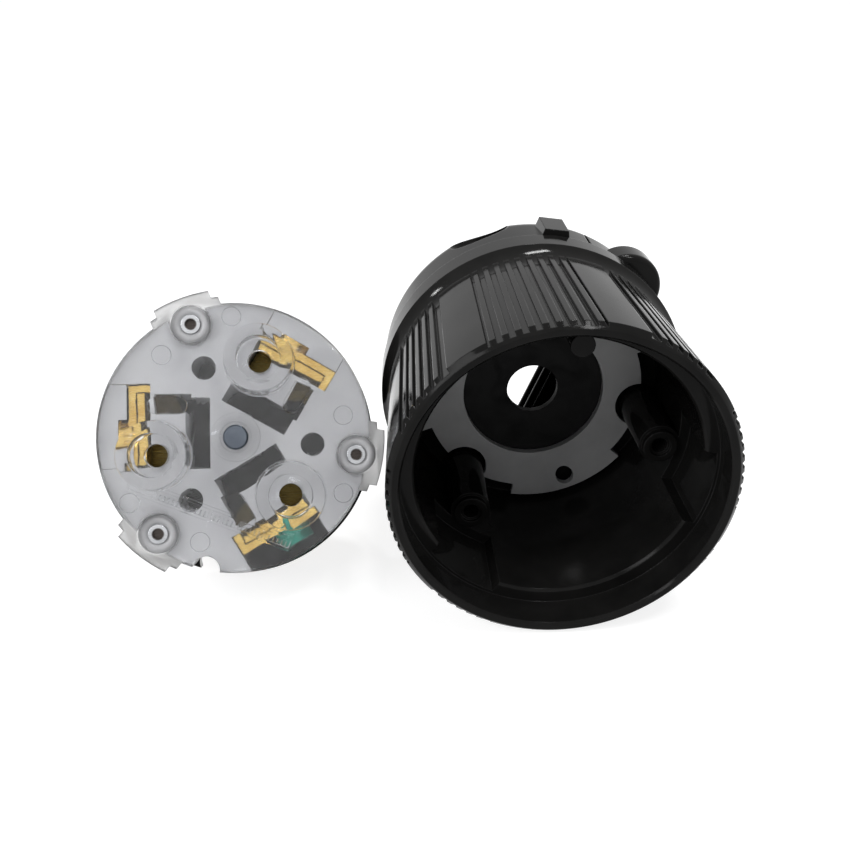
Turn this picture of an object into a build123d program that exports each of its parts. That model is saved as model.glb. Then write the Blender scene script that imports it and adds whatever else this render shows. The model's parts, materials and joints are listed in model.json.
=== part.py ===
"""Locking plug for a rewirable cord, opened for wiring.

The ribbed shell lies on its side with its mouth to the front, its cord seal, retaining ring and
two-part cord clamp in place. The contact carrier lies beside it, tipped over on the edge of its
face and on its ground blade, with the clear terminal cover to the front.
Millimetres, +Z up, origin at the middle of the footprint, both halves on the plane Z = 0.
"""
import os
from math import acos, atan2, cos, radians, sin, sqrt, tan

from build123d import *

# Shell: radius of the rim, steps inward from it, and depths measured back from the rim
rim_r = 28.5
waist_drop = 1.2
rim_wall = 2.3
ledge_width = 2.5
channel_wall = 2.9
ledge_depth = 6.0
waist_depth = 31.0
flange_depth = 36.6
flange_width = 5.6
floor_wall = 3.8
rim_chamfer = 0.7
edge_break = 0.4

# Grip ribs and the smooth pads between their groups
rib_arc = 2.0
rib_stand = 0.6
rib_sink = 0.3
rib_run = 3.4
rib_start = 0.4
rib_pitch = 4.1
long_rib_count = 9
short_rib_count = 5
pad_arc = 14.0
pattern_angle = 99.5

# Posts that take the assembly screws, and the key rib beside the top one
post_angle = 111.0
post_inset = 3.2
post_r = 3.6
spigot_r = 3.0
pilot_r = 1.4
pilot_depth = 12.0
mouth_relief_r = 1.9
mouth_relief_depth = 0.6
key_r = 2.3
key_gap = 0.4
key_angle = 257.0
key_end = 22.0

# Retaining ring and cord seal on the floor of the shell
ring_gap = 1.0
ring_rebate = 2.3
ring_rebate_arc = 30.5
ring_notch_gap = 0.8
ring_web = 2.9
ring_thick = 1.4
ring_hole_inset = 3.0
ring_hole_size = (2.1, 1.7)
seal_thick = 1.4
cord_hole_r = 4.8

# Neck of the shell that the clamp halves grip
neck_bore_r = 11.5
neck_wall = 3.5
neck_length = 4.2
lip_stand = 2.0
lip_width = 2.2

# Cord clamp: a drum in two halves, each with an ear, and a thumb tab on one of them
clamp_step = 0.9
clamp_dome = 7.2
clamp_length = 15.2
clamp_straight = 8.0
split_angle = 67.0
split_gap = 0.6
jaw_width = 30.0
jaw_gap = 0.3
grip_bar_r = 0.9
grip_bar_first = 2.6
grip_bar_pitch = 3.6
ear_r = 6.5
ear_inset = 2.7
ear_turn = 22.3
ear_length = 7.0
ear_edge = 1.2
thumb_angle = 82.5
thumb_width = 5.8
thumb_top = 4.4
thumb_stand = 1.8
thumb_root = 1.0
thumb_length = 7.5

# Screws and nuts of the cord clamp
clamp_screw_inset = 8.1
clamp_screw_back = 9.0
clamp_screw_r = 1.7
clamp_head_r = 3.4
clamp_head_thick = 2.2
clamp_head_gap = 0.6
head_seat = 8.0
nut_seat = 12.0
nut_across = 7.0
nut_thick = 3.0
drive_width = 1.0
drive_margin = 0.6
drive_depth = 1.0

# Contact carrier: gaps to the shell, and depths from the terminal side towards the face
carrier_length = 20.0
face_gap = 2.0
face_edge = 0.6
face_thick = 4.8
disc_gap = 1.0
lobe_gap = 0.5
lobe_width = 9.6
step_gap = 1.7
step_width = 12.0
channel_gap = 0.75
plate_thick = 2.2
tube_r = 3.0
cup_gap = 0.3
cup_depth = 1.1

# Wire funnels, windows and slots of the terminal cover
terminal_angle = 60.0
funnel_turn = 12.5
funnel_inset = 9.3
funnel_r = 6.0
funnel_height = 7.0
funnel_taper = 4.0
funnel_bore_r = 3.6
wire_r = 1.95
slot_hub_gap = 0.2
slot_wall = 2.0
slot_shift = -0.8
slot_length = 12.0
arm_lap = 1.0
arm_shift = -5.9
arm_length = 6.0
arm_width = 3.0
peg_offset = 0.7
peg_shift = -5.4
peg_size = (6.4, 2.8)
peep_shift = 2.1
peep_turn = 3.0
peep_r = 2.0
hub_r = 4.1
hub_height = 1.2
hub_gap = 0.5
gauge_size = (28.7, 2.5)
gauge_inset = 9.22
gauge_slide = 0.78
gauge_turn = -21.9
gauge_line = 0.5
gauge_height = 0.4
gauge_bays = 6

# Terminals: radial places from the blade and widths across
pocket_back = 1.5
pocket_low = -9.2
pocket_high = 5.0
pocket_depth = 12.2
roof_thick = 1.5
window_gap = 1.0
clamp_wall = 1.2
plate_gap = 2.8
screw_travel = 1.4
terminal_screw_r = 1.5
terminal_head_r = 2.9
terminal_head_thick = 2.8
terminal_screw_depth = 5.4

# Blades: curved bars, each with a locking notch, the ground one with a hook
blade_inset = 10.8
blade_thick = 1.6
blade_half_arc = 25.0
blade_length = 18.5
blade_tip = 0.5
notch_start = 2.4
notch_length = 3.4
notch_depth = 2.2
hook_reach = 3.0
hook_thick = 1.6

# Fasteners of the carrier
screw_r = 1.6
screw_cup_r = 0.9
screw_head_r = 2.7
screw_head_thick = 2.0
rivet_r = 1.25
rivet_head_r = 2.1
rivet_head = 0.7
rivet_bevel = 0.3
rivet_length = 14.0

# Clearances and how the two halves lie
fit = 0.2
lie_gap = 0.6
carrier_back = 16.4
carrier_yaw = 6.0
carrier_roll = -3.5

# Radii that follow from the sizes above
waist_r = rim_r - waist_drop
mouth_r = rim_r - rim_wall
bore_r = mouth_r - ledge_width
channel_r = rim_r - channel_wall
rib_base = rim_r - rib_stand
waist_base = waist_r - rib_stand
taper = waist_drop / waist_depth
post_pitch_r = bore_r - post_inset
ring_out_r = bore_r - ring_gap
ring_flat_r = ring_out_r - ring_rebate
ring_notch_r = post_r + ring_notch_gap
ring_in_r = post_pitch_r - ring_notch_r - ring_web
seal_r = post_pitch_r - post_r - fit
neck_r = neck_bore_r + neck_wall
lip_r = neck_r + lip_stand
clamp_r = rim_r - clamp_step
clamp_end_r = clamp_r - clamp_dome
ear_pitch_r = clamp_r - ear_inset
thumb_top_r = clamp_r + thumb_stand
jaw_reach = cord_hole_r + jaw_gap + grip_bar_r
clamp_screw_spread = clamp_r - clamp_screw_inset
nut_corner_r = nut_across / sqrt(3)
face_r = mouth_r - face_gap
disc_r = bore_r - disc_gap
lobe_r = channel_r - lobe_gap
step_r = channel_r - step_gap
cup_r = spigot_r + cup_gap
hub_bore_r = rivet_head_r + hub_gap
blade_in_r = disc_r - blade_inset
blade_out_r = blade_in_r + blade_thick
blade_mid_r = blade_in_r + blade_thick / 2
hook_in_r = blade_in_r - hook_reach
pocket_in_r = blade_in_r - pocket_back
plate_out_r = blade_out_r + plate_gap
yoke_out_r = plate_out_r + screw_travel
window_in_r = plate_out_r - clamp_wall - window_gap
slot_in_r = hub_r + slot_hub_gap
slot_out_r = pocket_in_r - slot_wall
arm_in_r = slot_out_r - arm_lap
peg_pitch_r = pocket_in_r + peg_offset
peep_pitch_r = (hub_r + post_pitch_r - tube_r) / 2 + peep_shift
funnel_pitch_r = disc_r - funnel_inset
gauge_drop = disc_r - gauge_inset

# Depths and widths that follow from the sizes above
flange_end = flange_depth + flange_width
floor_depth = flange_end - floor_wall
seal_front = floor_depth - seal_thick
rib_end = waist_depth + rib_run
shoulder_depth = carrier_length + fit
post_end = shoulder_depth - cup_depth
key_start = face_thick + 2 * fit
key_shell_angle = 2 * post_angle + 120 - key_angle
lip_depth = flange_end + neck_length
neck_end = lip_depth + lip_width
clamp_front = flange_end + fit
clamp_end = clamp_front + clamp_length
clamp_screw_depth = clamp_front + clamp_screw_back
grip_depth = neck_end + grip_bar_first
flange_start = carrier_length - face_thick
roof_depth = plate_thick + roof_thick
yoke_low = pocket_low + fit
yoke_high = pocket_high - fit
yoke_foot = pocket_depth - clamp_wall
blade_spread = face_r * tan(radians(blade_half_arc))
sector = ((0, 0), (face_r, -blade_spread), (face_r, blade_spread))
rebate_spread = rim_r * tan(radians(60 - ring_rebate_arc))

# The carrier rests on the rounded edge of its face and on the outer corner of the ground blade
blade_lean = max(0, 90 - terminal_angle - blade_half_arc + carrier_roll)
reach_down = face_r - face_edge - blade_out_r * cos(radians(blade_lean))
reach_back = blade_length - blade_tip + face_edge
tilt = acos(-face_edge / sqrt(reach_down**2 + reach_back**2)) - atan2(reach_back, reach_down)
yaw = radians(carrier_yaw)
roll = radians(carrier_roll)
carrier_height = (face_r - face_edge) * cos(tilt) + (carrier_length - face_edge) * sin(tilt) + face_edge

# Its nearest lobe lies just clear of the side of the shell
side_r = rim_r - taper * (carrier_back + lobe_r * sin(yaw)) + lie_gap
carrier_side = sqrt(side_r**2 - (carrier_height - rim_r) ** 2) + lobe_r * cos(yaw)
normal_x = sin(yaw) * cos(tilt)
left_reach = carrier_side + (carrier_length - face_edge) * normal_x + face_r * sqrt(1 - normal_x**2)
shell_x = (left_reach - rim_r) / 2
shell_y = -clamp_end / 2

HOUSING = Plane(origin=(shell_x, shell_y, rim_r), x_dir=(1, 0, 0), z_dir=(0, -1, 0))
HOUSING_AXIS = Axis(HOUSING.origin, (0, -1, 0))
CARRIER = Plane(
    origin=(shell_x - carrier_side, shell_y + carrier_back, carrier_height),
    x_dir=(
        cos(roll) * cos(yaw) - sin(roll) * sin(tilt) * sin(yaw),
        cos(roll) * sin(yaw) + sin(roll) * sin(tilt) * cos(yaw),
        sin(roll) * cos(tilt),
    ),
    z_dir=(normal_x, -cos(yaw) * cos(tilt), sin(tilt)),
)
CARRIER_AXIS = Axis(CARRIER.origin, CARRIER.z_dir)


def housing_section(angle):
    """Plane through the shell's axis: x is the radius at that angle, y the depth from the rim."""
    a = radians(angle)
    return Plane(origin=HOUSING.origin, x_dir=(cos(a), 0, sin(a)), z_dir=(-sin(a), 0, cos(a)))


def carrier_section(angle):
    """Plane through the carrier's axis: x is the radius at that angle, y points out of the cover."""
    a = radians(angle)
    x_dir = CARRIER.x_dir * cos(a) + CARRIER.y_dir * sin(a)
    return Plane(origin=CARRIER.origin, x_dir=x_dir, z_dir=x_dir.cross(CARRIER.z_dir))


def terminal_face(angle, radius, depth):
    """Plane square to a terminal screw, at a radius and a depth, looking in from outside."""
    a = radians(angle)
    out = CARRIER.x_dir * cos(a) + CARRIER.y_dir * sin(a)
    return Plane(origin=CARRIER.origin + out * radius - CARRIER.z_dir * depth, x_dir=CARRIER.z_dir, z_dir=out)


def spread(centre, count):
    """Angles of a group of ribs about its middle."""
    return [centre + (i - (count - 1) / 2) * rib_pitch for i in range(count)]


long_middles = [pattern_angle + 90 * i for i in range(4)]
short_middles = [angle + 45 for angle in long_middles]
rib_angles = [a for middle in long_middles for a in spread(middle, long_rib_count)]
rib_angles += [a for middle in short_middles for a in spread(middle, short_rib_count)]
rib_starts = [a - rib_arc / 2 for a in rib_angles]
pad_shift = (long_rib_count * rib_pitch + pad_arc) / 2
pad_starts = [m + side * pad_shift - pad_arc / 2 for m in long_middles for side in (-1, 1)]
rib_outline = (
    (rib_base - rib_sink, rib_start), (rib_base, rib_start), (rim_r, rib_start + rim_chamfer),
    (rim_r - taper * rib_end, rib_end), (rib_base - rib_sink - taper * rib_end, rib_end),
)

# Shell: a turned body with a waist, a flared flange and a lipped neck, then ribs, posts and channels
with BuildPart() as shell:
    with BuildSketch(housing_section(0)):
        with BuildLine():
            Polyline(
                (mouth_r + edge_break, 0), (rib_base - edge_break, 0), (rib_base, edge_break),
                (waist_base, waist_depth),
            )
            TangentArc(
                (waist_base, waist_depth), (rim_r, flange_depth), tangent=(-waist_drop, waist_depth)
            )
            Polyline(
                (rim_r, flange_depth), (rim_r, flange_end - edge_break), (rim_r - edge_break, flange_end),
                (neck_r, flange_end), (neck_r, lip_depth), (lip_r, lip_depth), (lip_r, neck_end),
                (neck_bore_r, neck_end), (neck_bore_r, floor_depth), (bore_r, floor_depth),
                (bore_r, ledge_depth + edge_break), (bore_r + edge_break, ledge_depth),
                (mouth_r, ledge_depth), (mouth_r, edge_break), (mouth_r + edge_break, 0),
            )
        make_face()
    revolve(axis=HOUSING_AXIS)
    with BuildSketch(*[housing_section(a) for a in pad_starts]):
        with BuildLine():
            Polyline(*rib_outline, close=True)
        make_face()
    revolve(axis=HOUSING_AXIS, revolution_arc=pad_arc)
    with BuildSketch(*[housing_section(a) for a in rib_starts]):
        with BuildLine():
            Polyline(*rib_outline, close=True)
        make_face()
    revolve(axis=HOUSING_AXIS, revolution_arc=rib_arc)
    with BuildSketch(HOUSING):
        with PolarLocations(channel_r / 2, 3, start_angle=post_angle):
            Rectangle(channel_r, step_width + 2 * channel_gap)
        Circle(channel_r, mode=Mode.INTERSECT)
    extrude(amount=-shoulder_depth, mode=Mode.SUBTRACT)
    with BuildSketch(HOUSING.offset(-floor_depth)):
        with PolarLocations(post_pitch_r, 3, start_angle=post_angle):
            Circle(post_r)
    extrude(amount=floor_depth - shoulder_depth)
    with BuildSketch(HOUSING.offset(-shoulder_depth)):
        with PolarLocations(post_pitch_r, 3, start_angle=post_angle):
            Circle(spigot_r)
    extrude(amount=cup_depth)
    with BuildSketch(HOUSING.offset(-key_end)):
        with PolarLocations(disc_r, 1, start_angle=key_shell_angle):
            Circle(key_r - key_gap)
    extrude(amount=key_end - key_start)
    with BuildSketch(HOUSING.offset(-post_end)):
        with PolarLocations(post_pitch_r, 3, start_angle=post_angle):
            Circle(pilot_r)
    extrude(amount=-pilot_depth, mode=Mode.SUBTRACT)
    with BuildSketch(HOUSING.offset(-post_end)):
        with PolarLocations(post_pitch_r, 3, start_angle=post_angle):
            Circle(mouth_relief_r)
    extrude(amount=-mouth_relief_depth, mode=Mode.SUBTRACT)

# Retaining ring: rebated and notched round each post, with one oval hole
with BuildPart() as retaining_ring:
    with BuildSketch(HOUSING.offset(-seal_front)):
        with PolarLocations(0, 3, start_angle=post_angle + 60):
            Polygon((0, 0), (rim_r, -rebate_spread), (rim_r, rebate_spread), align=None)
        Circle(ring_out_r, mode=Mode.INTERSECT)
        Circle(ring_flat_r)
        with PolarLocations(post_pitch_r, 3, start_angle=post_angle):
            Circle(ring_notch_r, mode=Mode.SUBTRACT)
        Circle(ring_in_r, mode=Mode.SUBTRACT)
        with PolarLocations(ring_out_r - ring_hole_inset, 1, start_angle=post_angle + 180):
            Ellipse(*ring_hole_size, mode=Mode.SUBTRACT)
    extrude(amount=ring_thick)

# Cord seal: a flat rubber washer between the ring and the floor
with BuildPart() as cord_seal:
    with BuildSketch(HOUSING.offset(-floor_depth)):
        Circle(seal_r)
        Circle(cord_hole_r, mode=Mode.SUBTRACT)
    extrude(amount=seal_thick)

# Ear of a clamp half: a boss with a rounded edge
with BuildPart() as ear:
    with BuildSketch(HOUSING.offset(-clamp_front - ear_length)):
        with PolarLocations(0, 1, start_angle=split_angle - ear_turn):
            with Locations((ear_pitch_r, 0)):
                Circle(ear_r)
            with Locations((ear_pitch_r / 2, 0)):
                Rectangle(ear_pitch_r, 2 * ear_r)
    extrude(amount=ear_length)
    fillet(edges().filter_by(GeomType.CIRCLE), ear_edge)

# Clamp half: half of a domed drum that grips the neck, with an ear, a screw seat and a nut pocket
SPLIT = housing_section(split_angle + 180)
with BuildPart() as clamp_half_right:
    with BuildSketch(SPLIT):
        with BuildLine():
            Polyline(
                (0, clamp_end), (0, clamp_front), (clamp_r - edge_break, clamp_front),
                (clamp_r, clamp_front + edge_break), (clamp_r, clamp_front + clamp_straight),
            )
            TangentArc(
                (clamp_r, clamp_front + clamp_straight), (clamp_end_r, clamp_end), tangent=(0, 1)
            )
            Line((clamp_end_r, clamp_end), (0, clamp_end))
        make_face()
    revolve(axis=HOUSING_AXIS, revolution_arc=180)
    add(ear.part)
    with BuildSketch(SPLIT):
        with BuildLine():
            Polyline(
                (0, clamp_front), (neck_r + fit, clamp_front), (neck_r + fit, lip_depth - fit),
                (lip_r + fit, lip_depth - fit), (lip_r + fit, neck_end + fit), (0, neck_end + fit),
                close=True,
            )
        make_face()
    revolve(axis=HOUSING_AXIS, mode=Mode.SUBTRACT)
    with BuildSketch(SPLIT.offset(split_gap / 2)):
        with Locations((0, clamp_front)):
            Rectangle(4 * clamp_r, 4 * clamp_length)
    extrude(amount=-2 * clamp_r, mode=Mode.SUBTRACT)
    with BuildSketch(SPLIT):
        with Locations((0, clamp_end)):
            Rectangle(jaw_width, 2 * (clamp_end - neck_end))
    extrude(amount=jaw_reach, mode=Mode.SUBTRACT)
    with BuildSketch(SPLIT):
        with Locations((-clamp_screw_spread, clamp_screw_depth), (clamp_screw_spread, clamp_screw_depth)):
            Circle(clamp_screw_r + fit)
    extrude(amount=2 * clamp_r, mode=Mode.SUBTRACT)
    with BuildSketch(SPLIT.offset(head_seat)):
        with Locations((clamp_screw_spread, clamp_screw_depth)):
            Circle(clamp_head_r + clamp_head_gap)
    extrude(amount=clamp_r, mode=Mode.SUBTRACT)
    with BuildSketch(SPLIT.offset(nut_seat)):
        with Locations((-clamp_screw_spread, clamp_screw_depth)):
            RegularPolygon(nut_corner_r + fit, 6)
    extrude(amount=clamp_r, mode=Mode.SUBTRACT)
    with BuildSketch(housing_section(split_angle + 270).offset(-jaw_width / 2)):
        with Locations((jaw_reach, grip_depth), (jaw_reach, grip_depth + grip_bar_pitch)):
            Circle(grip_bar_r)
    extrude(amount=jaw_width)

with BuildPart() as clamp_half_left:
    add(clamp_half_right.part.rotate(HOUSING_AXIS, 180))
    with BuildSketch(HOUSING.offset(-clamp_front - thumb_length)):
        with PolarLocations(0, 1, start_angle=thumb_angle):
            Polygon(
                (clamp_r - thumb_root, -thumb_width / 2), (thumb_top_r, -thumb_top / 2),
                (thumb_top_r, thumb_top / 2), (clamp_r - thumb_root, thumb_width / 2), align=None,
            )
    extrude(amount=thumb_length)

# Clamp screws and nuts: the second of each is the first turned half round the axis
with BuildPart() as clamp_screw_lower:
    with BuildSketch(SPLIT.offset(head_seat)):
        with Locations((clamp_screw_spread, clamp_screw_depth)):
            Circle(clamp_head_r)
    extrude(amount=clamp_head_thick)
    with BuildSketch(SPLIT.offset(head_seat)):
        with Locations((clamp_screw_spread, clamp_screw_depth)):
            Circle(clamp_screw_r)
    extrude(amount=-(head_seat + nut_seat + nut_thick))
    with BuildSketch(SPLIT.offset(head_seat + clamp_head_thick)):
        with Locations((clamp_screw_spread, clamp_screw_depth)):
            Rectangle(2 * (clamp_head_r - drive_margin), drive_width)
    extrude(amount=-drive_depth, mode=Mode.SUBTRACT)

with BuildPart() as clamp_screw_upper:
    add(clamp_screw_lower.part.rotate(HOUSING_AXIS, 180))

with BuildPart() as clamp_nut_upper:
    with BuildSketch(SPLIT.offset(nut_seat)):
        with Locations((-clamp_screw_spread, clamp_screw_depth)):
            RegularPolygon(nut_corner_r, 6)
            Circle(clamp_screw_r + fit / 4, mode=Mode.SUBTRACT)
    extrude(amount=nut_thick)

with BuildPart() as clamp_nut_lower:
    add(clamp_nut_upper.part.rotate(HOUSING_AXIS, 180))

# Contact base: the pale moulding under the cover, with a roofed pocket for each terminal
with BuildPart() as contact_base:
    with BuildSketch(CARRIER.offset(-pocket_depth)):
        Circle(disc_r)
        with PolarLocations(0, 3, start_angle=terminal_angle):
            with Locations(((window_in_r + face_r) / 2, (pocket_low + pocket_high) / 2)):
                Rectangle(face_r - window_in_r, pocket_high - pocket_low, mode=Mode.SUBTRACT)
            with Locations(((slot_in_r + slot_out_r) / 2, slot_shift)):
                Rectangle(slot_out_r - slot_in_r, slot_length, mode=Mode.SUBTRACT)
            with Locations((arm_in_r + arm_length / 2, arm_shift)):
                Rectangle(arm_length, arm_width, mode=Mode.SUBTRACT)
        with PolarLocations(funnel_pitch_r, 3, start_angle=terminal_angle + funnel_turn):
            Circle(wire_r + fit, mode=Mode.SUBTRACT)
        with PolarLocations(peep_pitch_r, 3, start_angle=post_angle + peep_turn):
            Circle(peep_r, mode=Mode.SUBTRACT)
        with PolarLocations(post_pitch_r, 3, start_angle=post_angle):
            Circle(tube_r + fit, mode=Mode.SUBTRACT)
        with PolarLocations(post_pitch_r + tube_r, 3, start_angle=post_angle):
            Rectangle(2 * tube_r, 2 * (tube_r + fit), mode=Mode.SUBTRACT)
        with PolarLocations(disc_r, 1, start_angle=key_angle):
            Circle(key_r, mode=Mode.SUBTRACT)
        Circle(rivet_r, mode=Mode.SUBTRACT)
    extrude(amount=pocket_depth - plate_thick)
    with BuildSketch(CARRIER.offset(-pocket_depth)):
        with PolarLocations(0, 3, start_angle=terminal_angle):
            with Locations(((pocket_in_r + face_r) / 2, (pocket_low + pocket_high) / 2)):
                Rectangle(face_r - pocket_in_r, pocket_high - pocket_low)
    extrude(amount=pocket_depth - roof_depth, mode=Mode.SUBTRACT)

# Front body: the black moulding with the plug's face and the blade slots
with BuildPart() as front_body:
    with BuildSketch(carrier_section(0)):
        with BuildLine():
            Polyline(
                (0, -pocket_depth), (disc_r, -pocket_depth), (disc_r, -flange_start), (face_r, -flange_start),
                (face_r, -carrier_length), (0, -carrier_length), close=True,
            )
        make_face()
    revolve(axis=CARRIER_AXIS)
    fillet(edges().filter_by(GeomType.CIRCLE).sort_by(Axis(CARRIER.origin, -CARRIER.z_dir))[-1], face_edge)
    with BuildSketch(CARRIER.offset(-pocket_depth)):
        with PolarLocations(post_pitch_r, 3, start_angle=post_angle):
            Circle(tube_r + fit)
        with PolarLocations(post_pitch_r + tube_r, 3, start_angle=post_angle):
            Rectangle(2 * tube_r, 2 * (tube_r + fit))
        with PolarLocations(disc_r, 1, start_angle=key_angle):
            Circle(key_r)
    extrude(amount=pocket_depth - flange_start, mode=Mode.SUBTRACT)
    with BuildSketch(CARRIER.offset(-flange_start)):
        with PolarLocations(post_pitch_r, 3, start_angle=post_angle):
            Circle(screw_r + fit)
    extrude(amount=-face_thick, mode=Mode.SUBTRACT)
    with BuildSketch(CARRIER.offset(-carrier_length)):
        with PolarLocations(post_pitch_r, 3, start_angle=post_angle):
            Circle(screw_head_r + fit)
    extrude(amount=screw_head_thick + fit, mode=Mode.SUBTRACT)
    with BuildSketch(CARRIER.offset(-pocket_depth)):
        with PolarLocations(0, 3, start_angle=terminal_angle):
            Polygon(*sector, align=None)
        Circle(blade_out_r, mode=Mode.INTERSECT)
        Circle(blade_in_r, mode=Mode.SUBTRACT)
    extrude(amount=pocket_depth - carrier_length, mode=Mode.SUBTRACT)
    with BuildSketch(CARRIER.offset(-pocket_depth)):
        Circle(rivet_r)
    extrude(amount=pocket_depth - rivet_length, mode=Mode.SUBTRACT)

# Terminal cover: a clear plate with three lobes, screw tubes, wire funnels and a strip gauge
with BuildPart() as terminal_cover:
    with BuildSketch(CARRIER):
        with PolarLocations(lobe_r / 2, 3, start_angle=post_angle):
            Rectangle(lobe_r, lobe_width)
        Circle(lobe_r, mode=Mode.INTERSECT)
    extrude(amount=-plate_thick)
    with BuildSketch(CARRIER):
        with PolarLocations(step_r / 2, 3, start_angle=post_angle):
            Rectangle(step_r, step_width)
        Circle(step_r, mode=Mode.INTERSECT)
        Circle(disc_r)
    extrude(amount=-plate_thick)
    with BuildSketch(CARRIER.offset(-plate_thick)):
        with PolarLocations(post_pitch_r, 3, start_angle=post_angle):
            Circle(tube_r)
    extrude(amount=plate_thick - flange_start)
    with BuildSketch(CARRIER):
        with PolarLocations(funnel_pitch_r, 3, start_angle=terminal_angle + funnel_turn):
            Circle(funnel_r)
    extrude(amount=funnel_height, taper=funnel_taper)
    with BuildSketch(CARRIER):
        Circle(hub_r)
        Circle(hub_bore_r, mode=Mode.SUBTRACT)
        with PolarLocations(0, 3, start_angle=terminal_angle):
            with Locations((peg_pitch_r, peg_shift)):
                SlotOverall(*peg_size)
    extrude(amount=hub_height)
    with BuildSketch(CARRIER):
        with PolarLocations(0, 1, start_angle=gauge_turn):
            with Locations((gauge_slide, -gauge_drop)):
                Rectangle(*gauge_size)
    extrude(amount=gauge_height)
    with BuildSketch(CARRIER.offset(gauge_height)):
        with PolarLocations(0, 1, start_angle=gauge_turn):
            with Locations((gauge_slide, -gauge_drop)):
                with GridLocations(gauge_size[0] / gauge_bays, 0, gauge_bays, 1):
                    Rectangle(gauge_size[0] / gauge_bays - gauge_line, gauge_size[1] - 2 * gauge_line)
        with PolarLocations(funnel_pitch_r, 3, start_angle=terminal_angle + funnel_turn):
            Circle(funnel_r, mode=Mode.SUBTRACT)
    extrude(amount=-gauge_height, mode=Mode.SUBTRACT)
    with BuildSketch(CARRIER.offset(funnel_height)):
        with PolarLocations(funnel_pitch_r, 3, start_angle=terminal_angle + funnel_turn):
            Circle(funnel_bore_r)
    extrude(amount=-funnel_height, mode=Mode.SUBTRACT)
    with BuildSketch(CARRIER):
        with PolarLocations(funnel_pitch_r, 3, start_angle=terminal_angle + funnel_turn):
            Circle(wire_r)
        Circle(rivet_r)
    extrude(amount=-plate_thick, mode=Mode.SUBTRACT)
    with BuildSketch(CARRIER):
        with PolarLocations(disc_r, 1, start_angle=key_angle):
            Circle(key_r)
    extrude(amount=-flange_start, mode=Mode.SUBTRACT)
    with BuildSketch(CARRIER):
        with PolarLocations(post_pitch_r, 3, start_angle=post_angle):
            Circle(cup_r)
    extrude(amount=-cup_depth, mode=Mode.SUBTRACT)
    with BuildSketch(CARRIER):
        with PolarLocations(post_pitch_r, 3, start_angle=post_angle):
            Circle(screw_r + fit)
    extrude(amount=-flange_start, mode=Mode.SUBTRACT)

# Centre rivet that holds the cover to the front body
with BuildPart() as centre_rivet:
    with BuildSketch(CARRIER):
        Circle(rivet_head_r)
    extrude(amount=rivet_head)
    chamfer(edges().filter_by(GeomType.CIRCLE).sort_by(CARRIER_AXIS)[-1], rivet_bevel)
    with BuildSketch(CARRIER):
        Circle(rivet_r)
    extrude(amount=-rivet_length)

os.makedirs("parts", exist_ok=True)
PIECES = {
    "shell": shell, "retaining_ring": retaining_ring, "cord_seal": cord_seal,
    "clamp_half_left": clamp_half_left, "clamp_half_right": clamp_half_right,
    "clamp_screw_upper": clamp_screw_upper, "clamp_screw_lower": clamp_screw_lower,
    "clamp_nut_upper": clamp_nut_upper, "clamp_nut_lower": clamp_nut_lower,
    "contact_base": contact_base, "front_body": front_body, "terminal_cover": terminal_cover,
    "centre_rivet": centre_rivet,
}
for label, piece in PIECES.items():
    piece.part.label = label
    export_step(piece.part, f"parts/{label}.step")

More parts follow.
